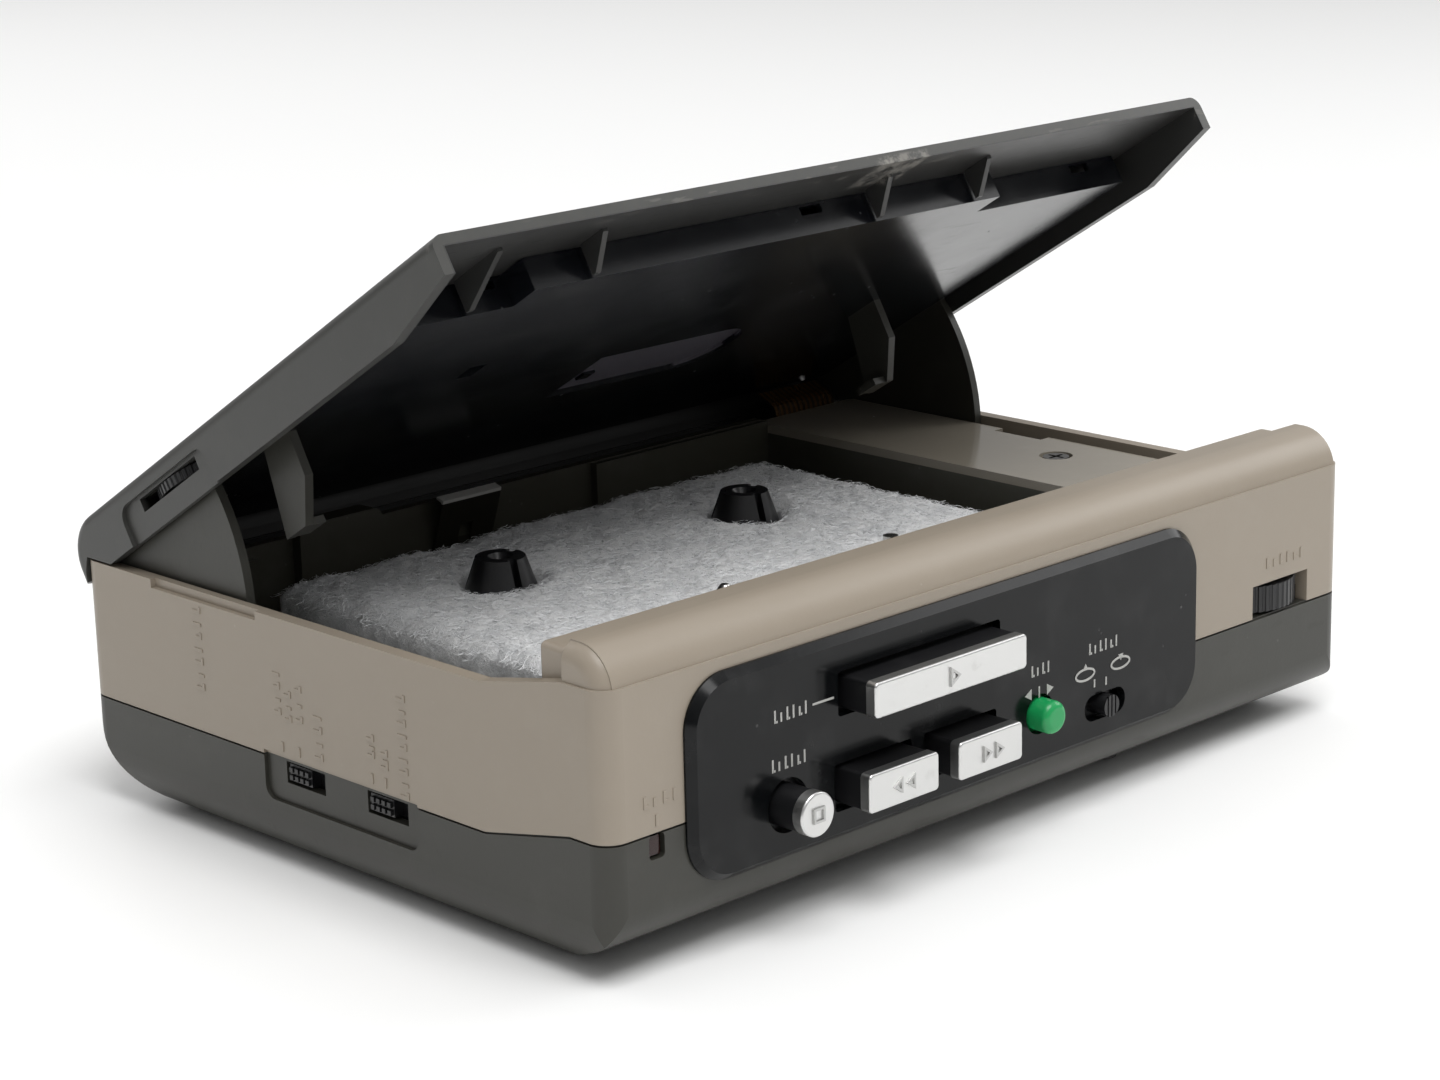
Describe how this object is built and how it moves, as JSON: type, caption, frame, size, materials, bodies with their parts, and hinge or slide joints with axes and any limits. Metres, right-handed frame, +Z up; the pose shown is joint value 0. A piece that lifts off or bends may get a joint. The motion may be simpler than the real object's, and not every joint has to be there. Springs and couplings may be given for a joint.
{
  "type": "portable cassette player",
  "caption": "Pocket radio cassette player lying on its back with its cassette lid open, showing the deck, spindles and heads, with keys and a thumbwheel on its narrow front.",
  "frame": {"origin": "middle of the flat underside of the case", "axes": "+X runs along the key face to the end with the sockets, -Y is the key face, +Z is up out of the cassette bay"},
  "size_m": [0.1314, 0.1037, 0.0795],
  "materials": {
    "upper_plastic": "satin taupe moulding",
    "lower_plastic": "satin dark olive-grey moulding",
    "lid_plastic": "satin dark grey moulding",
    "inner_plastic": "near-black semi-gloss moulding",
    "well_plastic": "dark satin moulding",
    "panel_plastic": "glossy dark grey",
    "cover_plastic": "glossy taupe",
    "black_plastic": "black, fine matt",
    "silver_tip": "bright satin",
    "green_plastic": "glossy green",
    "red_lens": "clear red lens",
    "clear_window": "clear tinted",
    "steel": "plain bright",
    "spring_steel": "rolled",
    "brass_part": "turned",
    "belt_rubber": "matt",
    "roller_rubber": "ground",
    "circuit_board": "solder mask",
    "ribbon_film": "amber film",
    "felt": "white loose fibre",
    "cell_wrap": "printed sleeve, plain"
  },
  "bodies": {
    "case": {"lower_case": "lower_plastic", "upper_case": "upper_plastic", "cassette_well": "well_plastic", "side_cover_plate": "cover_plastic", "plate_screw": "steel", "control_panel": "panel_plastic", "case_screws": "steel", "slide_switches": "steel", "volume_pot": "black_plastic", "battery_led": "red_lens", "headphone_jack": "black_plastic", "dc_jack": "black_plastic", "batteries": "cell_wrap", "battery_contacts": "spring_steel", "main_circuit_board": "circuit_board", "capstan_bushes": "brass_part", "chassis_plate": "steel", "flywheel_bridge": "spring_steel", "motor": "steel", "drive_belt": "belt_rubber", "cassette_spring": "spring_steel", "guide_pin": "steel", "transport_pad": "felt", "hinge_pins": "steel", "lid_spring": "spring_steel", "tuner_ribbon": "ribbon_film"},
    "lid": {"lid_shell": "lid_plastic", "lid_inner_plate": "inner_plastic", "lid_gussets": "well_plastic", "cassette_guides": "inner_plastic", "tuner_board": "circuit_board", "tuning_capacitor": "steel", "dial_window": "clear_window"},
    "tuning_wheel_body": {"tuning_wheel": "black_plastic"},
    "pointer": {"dial_pointer": "green_plastic"},
    "play_key": {"play_button": "black_plastic", "play_tip": "silver_tip"},
    "rewind_key": {"rewind_button": "black_plastic", "rewind_tip": "silver_tip"},
    "forward_key": {"forward_button": "black_plastic", "forward_tip": "silver_tip"},
    "stop_key": {"stop_button": "black_plastic", "stop_tip": "silver_tip"},
    "direction_key": {"direction_button": "green_plastic"},
    "mode_slider": {"mode_knob": "black_plastic"},
    "tape_slider": {"tape_knob": "black_plastic"},
    "noise_slider": {"noise_knob": "black_plastic"},
    "volume_dial": {"volume_wheel": "black_plastic"},
    "supply_reel": {"left_spindle": "black_plastic"},
    "take_up_reel": {"right_spindle": "black_plastic"},
    "left_capstan": {"left_flywheel": "steel"},
    "right_capstan": {"right_flywheel": "steel"},
    "pulley": {"motor_pulley": "brass_part"},
    "head_carriage": {"head_plate": "spring_steel", "tape_head": "steel"},
    "left_roller": {"left_pinch_roller": "roller_rubber"},
    "right_roller": {"right_pinch_roller": "roller_rubber"},
    "battery_cover": {"battery_door": "lower_plastic"}
  },
  "joints": [
    {"name": "lid_hinge", "type": "hinge", "parent": "case", "child": "lid", "pos_m": [0, 0.041, 0.029], "axis": [1, 0, 0], "range_deg": [0, 31.5], "stiffness_Nm_per_rad": 0.05, "springref_deg": -34.38},
    {"name": "tuning_turn", "type": "hinge", "parent": "lid", "child": "tuning_wheel_body", "pos_m": [-0.0562, 0.02884, 0.04361], "axis": [0, 0.5225, 0.8526], "range_deg": [0, 270]},
    {"name": "pointer_slide", "type": "slide", "parent": "lid", "child": "pointer", "axis": [1, 0, 0], "range_m": [0, 0.055]},
    {"name": "play_press", "type": "slide", "parent": "case", "child": "play_key", "axis": [0, 1, 0], "range_m": [0, 0.003]},
    {"name": "rewind_press", "type": "slide", "parent": "case", "child": "rewind_key", "axis": [0, 1, 0], "range_m": [0, 0.003], "stiffness_N_per_m": 200, "springref_m": -0.0008},
    {"name": "forward_press", "type": "slide", "parent": "case", "child": "forward_key", "axis": [0, 1, 0], "range_m": [0, 0.003], "stiffness_N_per_m": 200, "springref_m": -0.0008},
    {"name": "stop_press", "type": "slide", "parent": "case", "child": "stop_key", "axis": [0, 1, 0], "range_m": [0, 0.003], "stiffness_N_per_m": 200, "springref_m": -0.0008},
    {"name": "direction_press", "type": "slide", "parent": "case", "child": "direction_key", "axis": [0, 1, 0], "range_m": [0, 0.0012], "stiffness_N_per_m": 200, "springref_m": -0.0008},
    {"name": "mode_slide", "type": "slide", "parent": "case", "child": "mode_slider", "axis": [1, 0, 0], "range_m": [-0.002, 0.002]},
    {"name": "tape_slide", "type": "slide", "parent": "case", "child": "tape_slider", "axis": [0, 1, 0], "range_m": [-0.0025, 0]},
    {"name": "noise_slide", "type": "slide", "parent": "case", "child": "noise_slider", "axis": [0, 1, 0], "range_m": [-0.0025, 0]},
    {"name": "volume_turn", "type": "hinge", "parent": "case", "child": "volume_dial", "pos_m": [0.0523, -0.0404, 0.0187], "axis": [0, 0, 1], "range_deg": [0, 270]},
    {"name": "supply_spin", "type": "hinge", "parent": "case", "child": "supply_reel", "pos_m": [-0.02975, 0.01, 0.02], "axis": [0, 0, 1], "continuous": true},
    {"name": "take_up_spin", "type": "hinge", "parent": "case", "child": "take_up_reel", "pos_m": [0.01275, 0.01, 0.02], "axis": [0, 0, 1], "continuous": true},
    {"name": "left_capstan_spin", "type": "hinge", "parent": "case", "child": "left_capstan", "pos_m": [-0.0295, -0.0166, 0.012], "axis": [0, 0, 1], "continuous": true},
    {"name": "right_capstan_spin", "type": "hinge", "parent": "case", "child": "right_capstan", "pos_m": [0.0125, -0.0166, 0.012], "axis": [0, 0, 1], "continuous": true},
    {"name": "pulley_spin", "type": "hinge", "parent": "case", "child": "pulley", "pos_m": [-0.0085, 0.019, 0.008], "axis": [0, 0, 1], "continuous": true},
    {"name": "head_slide", "type": "slide", "parent": "case", "child": "head_carriage", "axis": [0, 1, 0], "range_m": [0, 0.0036], "stiffness_N_per_m": 200, "springref_m": -0.0008},
    {"name": "left_roller_spin", "type": "hinge", "parent": "head_carriage", "child": "left_roller", "pos_m": [-0.0295, -0.026, 0.025], "axis": [0, 0, 1], "continuous": true},
    {"name": "right_roller_spin", "type": "hinge", "parent": "head_carriage", "child": "right_roller", "pos_m": [0.0125, -0.026, 0.025], "axis": [0, 0, 1], "continuous": true},
    {"name": "battery_door_slide", "type": "slide", "parent": "case", "child": "battery_cover", "axis": [1, 0, 0], "range_m": [0, 0.012]}
  ],
  "couplings": [
    {"joint": "pointer_slide", "follows": "tuning_turn", "m_per_rad": 0.011671},
    {"joint": "play_press", "follows": "head_slide", "ratio": 0.83333},
    {"joint": "right_capstan_spin", "follows": "left_capstan_spin", "ratio": 1},
    {"joint": "pulley_spin", "follows": "left_capstan_spin", "ratio": 3.3143}
  ]
}
